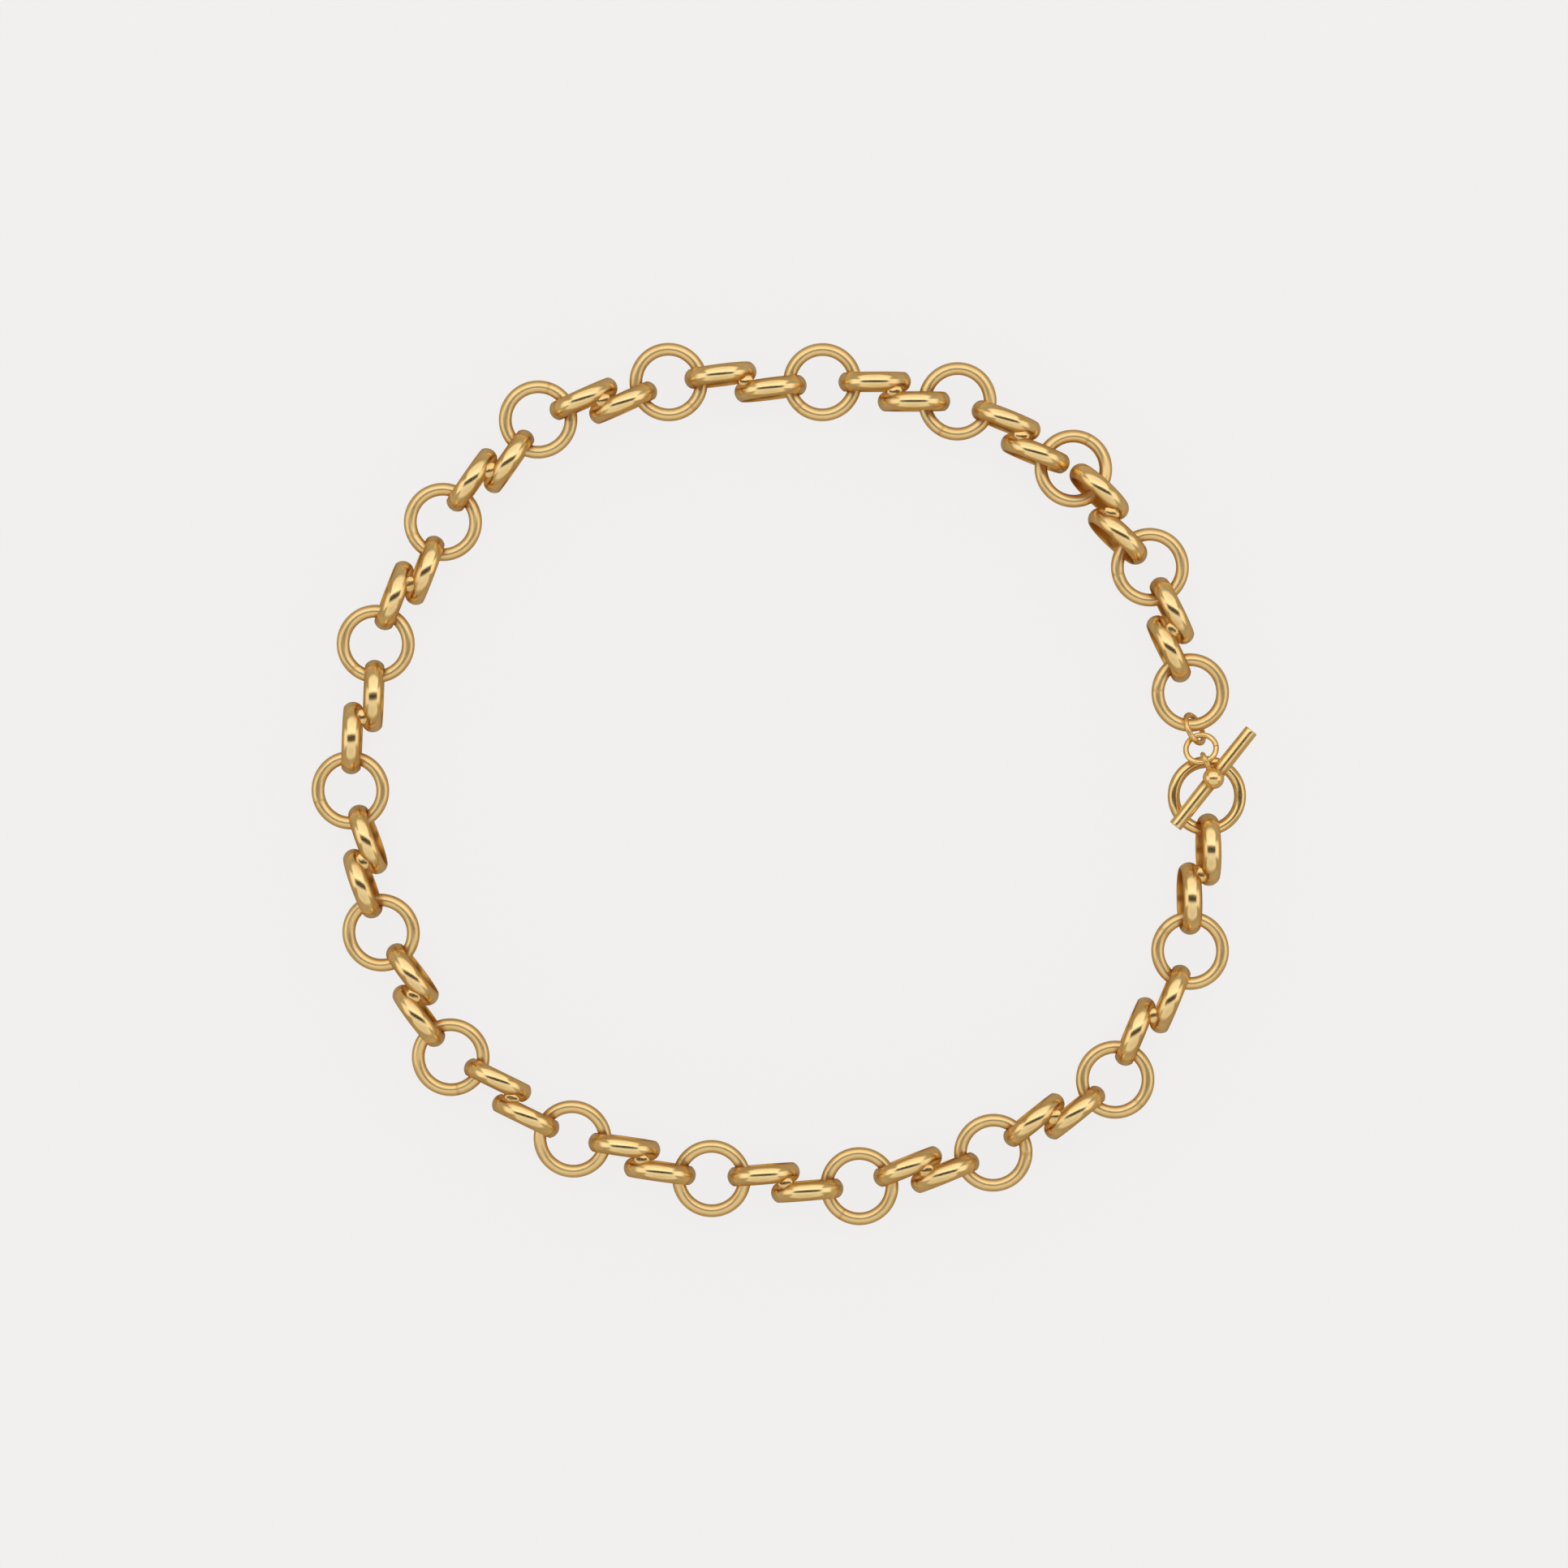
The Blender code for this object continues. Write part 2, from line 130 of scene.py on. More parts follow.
class Bench:
    """Builds the node tree of a material, a lamp or the room."""

    def __init__(self, owner: bpy.types.ID) -> None:
        """Empty the owner's node tree.

        Args:
            owner: A material, lamp or world.
        """
        owner.use_nodes = True
        self.tree = owner.node_tree
        self.tree.nodes.clear()

    def add(self, kind: str, settings: dict[str, object],
            inputs: dict[str | int, object]) -> bpy.types.Node:
        """Add a node, set it, and then fill or link its sockets.

        Args:
            kind: The node's type name.
            settings: Properties of the node, set before its sockets.
            inputs: Socket name or number, with a Value to link or a constant.

        Returns:
            The new node.
        """
        node = self.tree.nodes.new(kind)
        for key, setting in settings.items():
            setattr(node, key, setting)
        for key, given in inputs.items():
            if isinstance(given, Value):
                self.tree.links.new(given.socket, node.inputs[key])
            else:
                node.inputs[key].default_value = given
        return node

    def value(self, kind: str, settings: dict[str, object], inputs: dict[str | int, object],
              output: str | int = 0) -> Value:
        """Add a node and wrap one of its outputs.

        Args:
            kind: The node's type name.
            settings: Properties of the node.
            inputs: Values or links of its sockets.
            output: The output socket to wrap.

        Returns:
            The wrapped output.
        """
        return Value(self, self.add(kind, settings, inputs).outputs[output])

    def noise(self, place: Value, per_metre: float, detail: float, rough: float = 0.5) -> Value:
        """Cloudy noise from 0 to 1.

        Args:
            place: The coordinates that it is read at.
            per_metre: Features in each metre.
            detail: Octaves.
            rough: How strong the finer octaves are.

        Returns:
            The noise's value.
        """
        return self.value("ShaderNodeTexNoise", {},
                          {"Vector": place, "Scale": per_metre, "Detail": detail,
                           "Roughness": rough}, "Fac")

    def blend(self, factor: Value, first: Colour | Value, second: Colour | Value) -> Value:
        """Mix two colours.

        Args:
            factor: 0 gives the first colour and 1 the second.
            first: A colour or a link.
            second: A colour or a link.

        Returns:
            The mixed colour.
        """
        ends = [end if isinstance(end, Value) else (*end, 1.0) for end in (first, second)]
        return self.value("ShaderNodeMix", {"data_type": "RGBA"},
                          {0: factor, 6: ends[0], 7: ends[1]}, 2)


# ---------------------------------------------------------------- finishes

@dataclass(frozen=True)
class GoldFinish:
    """Gold plate over a tumbled brass casting or wire."""

    name: str
    slot: str
    bright: Colour           # open polished plate
    shade_and_thin_plate: Colour             # darker gold: painted shade where the mask says, and patches of thin plate
    worn: Colour             # plate rubbed by its neighbours
    roughness: float
    satin: float             # how much the grain spreads the roughness
    ripple: float            # height of the hand-polished waves, in microns
    grain: float             # height of the plated grain, in microns
    painted_shade_share: float = 0.85    # how far the painted shade mask pulls towards the darker gold
    missed_cloud: float = 0.5      # how far a cloud of thin plate pulls towards it as well
    rubbed_least: float = 0.35     # how far a rubbed spot shows between the streaks
    rubbed_streak: float = 0.6     # how much more it shows in a streak
    recess_rough: float = 0.16     # roughness that a corner adds
    rubbed_rough: float = 0.05     # roughness that rubbing adds
    streak_relief: float = 0.8     # height of the streaks, as a share of the grain's

    def material(self) -> bpy.types.Material:
        """Build the finish.

        Returns:
            A material with colour, roughness and bump that vary over the piece.
        """
        material = bpy.data.materials.new(self.name)
        material.diffuse_color = (*self.bright, 1.0)
        bench = Bench(material)
        place = bench.value("ShaderNodeTexCoord", {}, {}, "Object")
        painted_shade = bench.value("ShaderNodeAttribute", {"attribute_name": PAINTED_SHADE}, {}, "Fac")
        rub = bench.value("ShaderNodeAttribute", {"attribute_name": RUB}, {}, "Fac")
        cloud = bench.noise(place, CLOUDS, 3.0, 0.6)
        wave = bench.noise(place, WAVES, 1.0)
        grain = bench.noise(place, GRAINS, 2.0, 0.65)
        drawn_out = bench.value("ShaderNodeMapping", {}, {
            "Vector": place, "Rotation": STREAK_TURN, "Scale": STREAK_STRETCH})
        streak = bench.noise(drawn_out, STREAKS, 3.0, 0.6)

        # Painted shade from the mask, plus random clouds of thin plate, blend towards the darker
        # gold.
        shade_and_thin_plate_mix = (painted_shade * self.painted_shade_share + (cloud - 0.5) * self.missed_cloud).clamped()
        rubbed = (rub * (self.rubbed_least + streak * self.rubbed_streak)).clamped()
        plate = bench.blend(shade_and_thin_plate_mix, self.bright, self.shade_and_thin_plate)
        colour = bench.blend(rubbed, plate, self.worn)

        roughness = (self.roughness + (grain - 0.5) * self.satin + (streak - 0.5) * self.satin
                     + painted_shade * self.recess_rough + rubbed * self.rubbed_rough).clamped()
        height = (wave * self.ripple + grain * self.grain
                  + streak * (self.grain * self.streak_relief))
        relief = bench.value("ShaderNodeBump", {}, {
            "Strength": 1.0, "Distance": MICRON, "Height": height}, "Normal")
        shader = bench.value("ShaderNodeBsdfPrincipled", {}, {
            "Base Color": colour, "Metallic": 1.0, "Roughness": roughness, "Normal": relief}, 0)
        bench.add("ShaderNodeOutputMaterial", {}, {"Surface": shader})
        return material


class Finish(Enum):
    """The three batches of plated pieces."""

    # The second colour of each is the darker gold of painted shade and thin plate.
    RING = GoldFinish("ring_gold_plate", "ring_gold", (0.96, 0.69, 0.315), (0.60, 0.30, 0.05),
                      (0.98, 0.75, 0.40), 0.33, 0.03, 2.0, 0.05)
    LINK = GoldFinish("link_gold_plate", "link_gold", (0.97, 0.70, 0.315), (0.55, 0.24, 0.025),
                      (0.98, 0.76, 0.40), 0.19, 0.03, 3.0, 0.05)
    CLASP = GoldFinish("clasp_gold_plate", "clasp_gold", (0.96, 0.68, 0.29), (0.58, 0.26, 0.03),
                       (0.98, 0.74, 0.37), 0.24, 0.03, 2.0, 0.05)


# ---------------------------------------------------------------- placing and dressing

def node_points(node: str) -> np.ndarray:
    """The corners of a CAD node at rest, each once.

    Args:
        node: The CAD node's name.

    Returns:
        One row of x, y and z for each corner, in metres.
    """
    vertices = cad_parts[node].data.vertices
    points = np.empty(len(vertices) * 3)
    vertices.foreach_get("co", points)
    return np.unique(points.reshape(-1, 3).round(7), axis=0)


def spread_axes(points: np.ndarray) -> tuple[np.ndarray, np.ndarray]:
    """The middle of some points and their main directions.

    Args:
        points: One row for each point.

    Returns:
        The mean point, and the directions as columns from the narrowest to the widest.
    """
    centre = points.mean(axis=0)
    _, directions = np.linalg.eigh(np.cov((points - centre).T))
    return centre, directions


def upward(direction: Vector) -> Vector:
    """The same line, pointing up."""
    return direction if direction.z >= 0 else -direction


def placement(along: Vector, across: Vector, up: Vector, centre: Vector) -> Matrix:
    """A placement from three axes and a point."""
    turn = Matrix((along, across, up)).transposed().to_4x4()
    return Matrix.Translation(centre) @ turn


def ring_placement(node: str) -> Matrix:
    """Where a ring lies: its axis is the direction in which its corners spread least.

    Args:
        node: The CAD ring's name.

    Returns:
        The placement of a ring that was made flat about the origin.
    """
    centre, directions = spread_axes(node_points(node))
    normal = upward(Vector(directions[:, 0]))
    along = (Vector((1.0, 0.0, 0.0)) - normal * normal.x).normalized()
    return placement(along, normal.cross(along), normal, Vector(centre))


@dataclass
class PieceMaker:
    """What every sub-assembly does to a finished shell."""

    finish: Finish
    made: list[str] = field(default_factory=list)

    def dress(self, name: str, shell: bmesh.types.BMesh, node: str) -> bpy.types.Object:
        """Turn a shell that is in its place into a piece that rides on its CAD body.

        Args:
            name: The new piece's name.
            shell: The finished shell, in the necklace's frame. It is freed.
            node: The CAD node that the piece stands for.

        Returns:
            The new piece.
        """
        data = bpy.data.meshes.new(name)
        bmesh.ops.recalc_face_normals(shell, faces=shell.faces)
        for face in shell.faces:
            face.smooth = True
        shell.to_mesh(data)
        shell.free()
        data.materials.append(bpy.data.materials[self.finish.value.name])
        piece = bpy.data.objects.new(name, data)
        bpy.context.scene.collection.objects.link(piece)
        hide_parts(node)
        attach(piece, node)
        self.made.append(name)
        LOG.info("%s stands for %s with %d faces", name, node, len(data.polygons))
        return piece


def wire_circle(shell: bmesh.types.BMesh, radius: float, wire: float, sides: int) -> list:
    """The round section of a wire, standing where a spin about Z starts.

    Args:
        shell: The bmesh to add it to.
        radius: From Z to the wire's centreline.
        wire: The wire's diameter.
        sides: Points round the section.

    Returns:
        Its vertices and edges.
    """
    stand = Matrix.Translation((radius, 0.0, 0.0)) @ Matrix.Rotation(math.pi / 2, 4, "X")
    made = bmesh.ops.create_circle(shell, segments=sides, radius=wire / 2, matrix=stand)
    edges = {edge for vertex in made["verts"] for edge in vertex.link_edges}
    return made["verts"] + list(edges)


def wire_torus(radius: float, wire: float, segments: int, sides: int) -> bmesh.types.BMesh:
    """A closed ring of round wire about Z.

    Args:
        radius: From Z to the wire's centreline.
        wire: The wire's diameter.
        segments: Points round the ring.
        sides: Points round the wire.

    Returns:
        The ring's shell.
    """
    shell = bmesh.new()
    section = wire_circle(shell, radius, wire, sides)
    bmesh.ops.spin(shell, geom=section, cent=(0, 0, 0), axis=(0, 0, 1), angle=math.tau,
                   steps=segments, use_merge=True)
    bmesh.ops.remove_doubles(shell, verts=shell.verts, dist=WELD)
    return shell


def cut_rims(shell: bmesh.types.BMesh) -> list[bmesh.types.BMEdge]:
    """The edges round a wire's flat cut ends, the only faces with over four corners."""
    return [edge for edge in shell.edges if any(len(face.verts) > 4 for face in edge.link_faces)]


def marks(shell: bmesh.types.BMesh) -> list[bmesh.types.BMLayerItem]:
    """The two numbers kept at each vertex, which the finishes read: painted shade and rub."""
    layers = shell.verts.layers.float
    return [layers.get(name) or layers.new(name) for name in (PAINTED_SHADE, RUB)]


def merge(target: bmesh.types.BMesh, part: bmesh.types.BMesh) -> None:
    """Put one shell into another with its marks, and free it.

    Args:
        target: The shell that grows.
        part: The shell that goes into it.
    """
    data = bpy.data.meshes.new("part")
    part.to_mesh(data)
    part.free()
    target.from_mesh(data)
    bpy.data.meshes.remove(data)


# ---------------------------------------------------------------- plain rings

@dataclass
class WireRings(PieceMaker):
    """Closed rings of round wire, each one bent, soldered at a seam and tumbled."""

    finish: Finish = Finish.RING
    outer: float = 13.4 * MM
    wire: float = 2.2 * MM
    segments: int = 112
    sides: int = 28
    oval: float = 0.004          # share by which a bent ring is longer one way
    seam_depth: float = 0.02 * MM
    seam_width: float = 0.22 * MM
    seam_mark: float = 0.6       # painted shade in the seam's dip
    inner_mark: float = 0.12     # painted shade on the ring's inner side
    flank_mark: float = 0.45     # painted shade on both sides of the wire, away from the top
    inner_rub: float = 0.5       # how far the links rub the ring's inner side

    def build(self, name: str, node: str) -> bpy.types.Object:
        """Make one ring.

        Args:
            name: The new piece's name.
            node: The CAD ring that it stands for.

        Returns:
            The new piece.
        """
        draw = random.Random(name)
        radius = (self.outer - self.wire) / 2
        shell = wire_torus(radius, self.wire, self.segments, self.sides)
        painted_shade, rub = marks(shell)
        seam = draw.uniform(0.0, math.tau)
        long_way = draw.uniform(0.0, math.pi)
        for vertex in shell.verts:
            turn = math.atan2(vertex.co.y, vertex.co.x)
            outward = Vector((math.cos(turn), math.sin(turn), 0.0))
            spine = outward * radius
            away = vertex.co - spine
            off_seam = ((turn - seam + math.pi) % math.tau - math.pi) * radius
            dip = math.exp(-(off_seam / self.seam_width) ** 2)
            away *= 1.0 - dip * self.seam_depth / (self.wire / 2)
            vertex.co = spine * (1.0 + self.oval * math.cos(2 * (turn - long_way))) + away
            inner = max(0.0, -away.dot(outward) / (self.wire / 2))
            flank = (away.length_squared - away.z ** 2) / (self.wire / 2) ** 2
            # Painted shade: darker in the seam's dip, on the inner side and on the flanks.
            shade_amount = (self.seam_mark * dip + self.inner_mark * inner
                         + self.flank_mark * flank ** 2)
            vertex[painted_shade] = min(1.0, shade_amount)
            vertex[rub] = self.inner_rub * inner ** 2
        bmesh.ops.transform(shell, matrix=ring_placement(node), verts=shell.verts)
        return self.dress(name, shell, node)


# ---------------------------------------------------------------- double-loop links

@dataclass
class DoubleLoops(PieceMaker):
    """Links of two domed band loops, soldered side by side where they cross."""

    finish: Finish = Finish.LINK
    outer: float = 12.4 * MM
    band_width: float = 3.2 * MM
    band_thickness: float = 1.2 * MM
    shift: float = 3.4 * MM      # sideways from one loop to the other
    segments: int = 112
    sides: int = 36
    crown: float = 0.90 * MM     # rise of the band's half-round outer side
    corner: float = 3.0          # power of its inner side, where 2 is an ellipse
    bead_half: Triple = (1.7 * MM, 1.0 * MM, 0.45 * MM)     # half the solder's size each way
    bead_spread: float = 0.08    # share by which one bead is larger or smaller
    bead_lumps: float = 0.07     # unevenness of its skin
    bead_waist: float = 0.22     # share by which it narrows between the bands
    depth_mark: float = 1.1      # painted shade on the band's inner side
    corner_mark: float = 0.85    # painted shade on the metal round the solder
    corner_reach: float = 1.5 * MM
    facing_mark: float = 0.5     # painted shade on the side towards the other loop
    turn_error: float = 1e-5     # how closely a link's turn is found, in radians

    def placed(self, node: str) -> tuple[Matrix, float]:
        """Find a CAD link's placement and the step between its loops.

        The link's up is its middle direction of spread. Across is the direction in which
        it is narrowest, because both loops are flat that way.

        Args:
            node: The CAD link's name.

        Returns:
            The placement, and the step from one loop's centre to the other's.
        """
        points = node_points(node)
        centre, directions = spread_axes(points)
        up = upward(Vector(directions[:, 1]))
        level = Vector(directions[:, 2])
        side = up.cross(level)
        best, reach = 0.0, math.pi / 2
        while reach > self.turn_error:
            turns = [best + reach * step / 20 for step in range(-20, 21)]
            widths = [np.ptp(points @ np.array(level * math.sin(turn) + side * math.cos(turn)))
                      for turn in turns]
            best = turns[int(np.argmin(widths))]
            reach /= 8
        across = level * math.sin(best) + side * math.cos(best)
        along = across.cross(up)
        middle = Vector()
        for axis in (along, across, up):
            shares = points @ np.array(axis)
            middle += axis * (shares.min() + shares.max()) / 2
        length = np.ptp(points @ np.array(along))
        return placement(along, across, up, middle), float(length) - self.outer

    def band_section(self, shell: bmesh.types.BMesh) -> list:
        """The band's section, domed outside and nearly flat inside, where a spin starts.

        Args:
            shell: The bmesh to add it to.

        Returns:
            Its vertices and edges.
        """
        made = bmesh.ops.create_circle(shell, segments=self.sides, radius=1.0)
        half = self.band_width / 2
        waist = self.outer / 2 - self.crown
        bend = (half ** 2 + self.crown ** 2) / (2 * self.crown)
        fan = math.asin(half / bend)
        for vertex in made["verts"]:
            out, over = vertex.co.x, vertex.co.y
            if out >= -1e-6:
                turn = fan * math.atan2(over, out) / (math.pi / 2)
                rise = bend * math.cos(turn) - (bend - self.crown)
                vertex.co = (waist + rise, bend * math.sin(turn), 0.0)
            else:
                power = ELLIPSE / self.corner
                sink = (self.band_thickness - self.crown) * abs(out) ** power
                over = math.copysign(abs(over) ** power, over)
                vertex.co = (waist - sink, half * over, 0.0)
        edges = {edge for vertex in made["verts"] for edge in vertex.link_edges}
        return made["verts"] + list(edges)

    def loop(self, target: bmesh.types.BMesh, centre: Vector, joint: Vector) -> None:
        """Add one band loop about its own Y axis.

        Args:
            target: The link's shell.
            centre: The loop's centre.
            joint: The upper soldered spot. The lower one mirrors it.
        """
        shell = bmesh.new()
        section = self.band_section(shell)
        bmesh.ops.spin(shell, geom=section, cent=(0, 0, 0), axis=(0, 1, 0), angle=math.tau,
                       steps=self.segments, use_merge=True)
        bmesh.ops.remove_doubles(shell, verts=shell.verts, dist=WELD)
        bmesh.ops.translate(shell, vec=centre, verts=shell.verts)
        painted_shade, rub = marks(shell)
        floor = self.outer / 2 - self.band_thickness
        for vertex in shell.verts:
            away = vertex.co - centre
            depth = 1.0 - (math.hypot(away.x, away.z) - floor) / self.band_thickness
            facing = max(0.0, -away.y * centre.y) / (self.band_width / 2 * abs(centre.y))
            near = Vector((vertex.co.x, vertex.co.y, abs(vertex.co.z))) - joint
            corner = math.exp(-(near.length / self.corner_reach) ** 2)
            # Painted shade: darker on the inner side, round the solder and on the side facing the
            # other loop.
            shade_amount = (self.depth_mark * max(0.0, depth) ** 1.5 + self.corner_mark * corner
                         + self.facing_mark * facing ** 3)
            vertex[painted_shade] = min(1.0, max(0.0, shade_amount))
            vertex[rub] = max(0.0, 1.0 - depth * 4) * (0.4 + 0.6 * abs(away.x) / (self.outer / 2))
        merge(target, shell)

    def bead(self, target: bmesh.types.BMesh, joint: Vector, draw: random.Random) -> None:
        """Add the solder that fills the groove between the bands at one crossing.

        Args:
            target: The link's shell.
            joint: The middle of the crossing.
            draw: Gives each bead its own shape.
        """
        shell = bmesh.new()
        bmesh.ops.create_uvsphere(shell, u_segments=28, v_segments=18, radius=1.0)
        size = Vector(self.bead_half) * draw.uniform(1 - self.bead_spread, 1 + self.bead_spread)
        own_noise = Vector((draw.uniform(0, 90), draw.uniform(0, 90), 0.0))
        painted_shade, rub = marks(shell)
        for vertex in shell.verts:
            lump = 1.0 + self.bead_lumps * noise.noise(vertex.co * 1.6 + own_noise)
            towards_band = vertex.co.y ** 2
            vertex.co.x *= 1.0 - self.bead_waist * (1.0 - towards_band)
            vertex.co = Vector([vertex.co[i] * size[i] * lump for i in range(3)]) + joint
            # Painted shade, darker towards the bands.
            vertex[painted_shade] = 0.25 + 0.5 * towards_band
            vertex[rub] = 0.0
        merge(target, shell)

    def build(self, name: str, node: str) -> bpy.types.Object:
        """Make one link.

        Args:
            name: The new piece's name.
            node: The CAD link that it stands for.

        Returns:
            The new piece.
        """
        place, step = self.placed(node)
        middle = self.outer / 2 - self.band_thickness / 2
        joint = Vector((0.0, 0.0, math.sqrt(middle ** 2 - (step / 2) ** 2)))
        draw = random.Random(name)
        shell = bmesh.new()
        for side in (-1, 1):
            self.loop(shell, Vector((side * step / 2, -side * self.shift / 2, 0.0)), joint)
        for side in (-1, 1):
            self.bead(shell, joint * side, draw)
        bmesh.ops.transform(shell, matrix=place, verts=shell.verts)
        return self.dress(name, shell, node)


# ---------------------------------------------------------------- toggle clasp

@dataclass
class ToggleClasp(PieceMaker):
    """The toggle ring, two jump rings and the bar with its ball and eye."""

    finish: Finish = Finish.CLASP
    ring_outer: float = 13.6 * MM
    ring_wire: float = 2.05 * MM
    jump_wire: float = 0.95 * MM
    bar_length: float = 20.9 * MM
    bar_diameter: float = 2.35 * MM
    bar_swell: float = 0.06      # share by which the bar is thicker at the ball
    ball_diameter: float = 3.7 * MM
    eye_outer: float = 3.5 * MM
    eye_wire: float = 0.9 * MM
    slit: float = 0.05 * MM      # between a jump ring's two cut ends
    cad_jump_wire: float = 0.9 * MM    # the CAD jump rings' wire, a little thinner
    cut_ease: float = 0.05 * MM  # rounding of a jump ring's cut ends
    bar_ease: float = 0.16 * MM  # rounding of the bar's cut ends
    bar_wear: float = 1.2 * MM   # how far the plate is worn from each end of the bar
    ball_flat: float = 0.06      # share by which the ball is flatter at the bar
    ball_corner: float = 0.35 * MM     # how far the painted shade on the bar beside the ball reaches
    collar_radius: float = 0.62 * MM
    inner_mark: float = 0.15     # painted shade on a ring's inner side
    flank_mark: float = 0.45     # painted shade on both sides of its wire
    inner_rub: float = 0.4       # how far other pieces rub its inner side

    def toggle_ring(self, name: str, node: str) -> bpy.types.Object:
        """Make the plain ring that the bar passes through.

        Args:
            name: The new piece's name.
            node: The CAD ring that it stands for.

        Returns:
            The new piece.
        """
        radius = (self.ring_outer - self.ring_wire) / 2
        shell = wire_torus(radius, self.ring_wire, 120, 28)
        self.mark_inside(shell, radius, self.ring_wire)
        bmesh.ops.transform(shell, matrix=ring_placement(node), verts=shell.verts)
        return self.dress(name, shell, node)

    def mark_inside(self, shell: bmesh.types.BMesh, radius: float, wire: float) -> None:
        """Mark where other pieces rub a ring's inner side, and paint shade on that side and on its
        flanks.

        Args:
            shell: The ring, still flat about the origin.
            radius: From Z to the wire's centreline.
            wire: The wire's diameter.
        """
        painted_shade, rub = marks(shell)
        for vertex in shell.verts:
            inner = max(0.0, (radius - math.hypot(vertex.co.x, vertex.co.y)) / (wire / 2))
            flank = 1.0 - (vertex.co.z / (wire / 2)) ** 2
            # Painted shade on the inner side and on the flanks.
            shade_amount = self.inner_mark * inner + self.flank_mark * max(0.0, flank) ** 2
            vertex[painted_shade] = min(1.0, shade_amount)
            vertex[rub] = self.inner_rub * inner ** 2

    def jump_ring(self, name: str, node: str) -> bpy.types.Object:
        """Make a jump ring, bent round until its two cut ends meet.

        Args:
            name: The new piece's name.
            node: The CAD ring that it stands for.

        Returns:
            The new piece.
        """
        place = ring_placement(node)
        reach = max(np.linalg.norm(node_points(node) - np.array(place.translation), axis=1))
        radius = float(reach) - self.cad_jump_wire / 2
        shell = bmesh.new()
        section = wire_circle(shell, radius, self.jump_wire, 20)
        gap = self.slit / radius
        bmesh.ops.spin(shell, geom=section, cent=(0, 0, 0), axis=(0, 0, 1),
                       angle=math.tau - gap, steps=72)
        ends = [edge for edge in shell.edges if edge.is_boundary]
        bmesh.ops.holes_fill(shell, edges=ends, sides=0)
        bmesh.ops.bevel(shell, geom=cut_rims(shell), offset=self.cut_ease, offset_type="OFFSET",
                        segments=2, profile=0.5, affect="EDGES", material=-1)
        self.mark_inside(shell, radius, self.jump_wire)
        turn = Matrix.Rotation(SLIT_TURNS[node], 4, "Z")
        bmesh.ops.transform(shell, matrix=place @ turn, verts=shell.verts)
        return self.dress(name, shell, node)

    def bar_axes(self, node: str) -> tuple[Matrix, Vector]:
        """Find the bar's placement and the direction from its ball to its eye.

        Args:
            node: The CAD bar's name.

        Returns:
            The placement of a bar along X, and the direction to the eye.
        """
        points = node_points(node)
        centre, directions = spread_axes(points)
        shares = points @ directions[:, 2]
        near = 0.6 * MM
        ends = [points[shares < shares.min() + near].mean(axis=0),
                points[shares > shares.max() - near].mean(axis=0)]
        along = Vector(ends[1] - ends[0]).normalized()
        across = UP.cross(along)
        middle = Vector(ends[0] + ends[1]) / 2
        aside = (points - np.array(middle)) @ np.array(across)
        outlying = points[np.abs(aside) > self.ball_diameter / 2 + 0.4 * MM]
        towards = Vector(outlying.mean(axis=0)) - middle
        towards.z = 0.0
        return placement(along, across, UP, middle), towards.normalized()

    def toggle_bar(self, name: str, node: str) -> bpy.types.Object:
        """Make the bar, with the ball cast round its middle and the eye soldered on.

        Args:
            name: The new piece's name.
            node: The CAD bar that it stands for.

        Returns:
            The new piece.
        """
        place, towards = self.bar_axes(node)
        rise = UP * (self.ball_diameter - self.bar_diameter) / 2
        ball = place.translation + rise
        shell = bmesh.new()
        self.rod(shell, place)
        self.ball(shell, ball, place.to_3x3().col[0])
        reach = self.ball_diameter / 2 + self.eye_outer / 2 - self.eye_wire / 2
        self.eye(shell, ball + towards * reach, towards)
        self.collar(shell, ball + towards * (self.ball_diameter / 2 - 0.1 * MM), towards)
        return self.dress(name, shell, node)

    def rod(self, target: bmesh.types.BMesh, place: Matrix) -> None:
        """Add the straight bar with its eased, cut ends.

        Args:
            target: The piece's shell.
            place: The bar's placement.
        """
        shell = bmesh.new()
        lay = place @ Matrix.Rotation(math.pi / 2, 4, "Y")
        bmesh.ops.create_cone(shell, cap_ends=True, segments=36, radius1=self.bar_diameter / 2,
                              radius2=self.bar_diameter / 2, depth=self.bar_length)
        bmesh.ops.bevel(shell, geom=cut_rims(shell), offset=self.bar_ease, offset_type="OFFSET",
                        segments=4, profile=0.5, affect="EDGES", material=-1)
        lengthwise = [edge for edge in shell.edges
                      if abs(edge.verts[0].co.z - edge.verts[1].co.z) > self.bar_length / 2]
        bmesh.ops.subdivide_edges(shell, edges=lengthwise, cuts=40, use_grid_fill=True)
        painted_shade, rub = marks(shell)
        for vertex in shell.verts:
            swell = 1.0 + self.bar_swell * (1.0 - abs(vertex.co.z) / (self.bar_length / 2))
            vertex.co.x *= swell
            vertex.co.y *= swell
            from_ball = abs(vertex.co.z) - 0.45 * self.ball_diameter
            # Painted shade on the bar where it meets the ball.
            vertex[painted_shade] = min(1.0, math.exp(-max(0.0, from_ball) / self.ball_corner))
            from_end = self.bar_length / 2 - abs(vertex.co.z)
            vertex[rub] = math.exp(-from_end / self.bar_wear)
        bmesh.ops.transform(shell, matrix=lay, verts=shell.verts)
        merge(target, shell)

    def ball(self, target: bmesh.types.BMesh, centre: Vector, along: Vector) -> None:
        """Add the ball, its poles along the bar and slightly flattened there.

        Args:
            target: The piece's shell.
            centre: The ball's centre.
            along: The bar's direction.
        """
        shell = bmesh.new()
        bmesh.ops.create_uvsphere(shell, u_segments=48, v_segments=32,
                                  radius=self.ball_diameter / 2)
        painted_shade, rub = marks(shell)
        for vertex in shell.verts:
            end = abs(vertex.co.z) / (self.ball_diameter / 2)
            vertex.co.z *= 1.0 - self.ball_flat * end ** 4
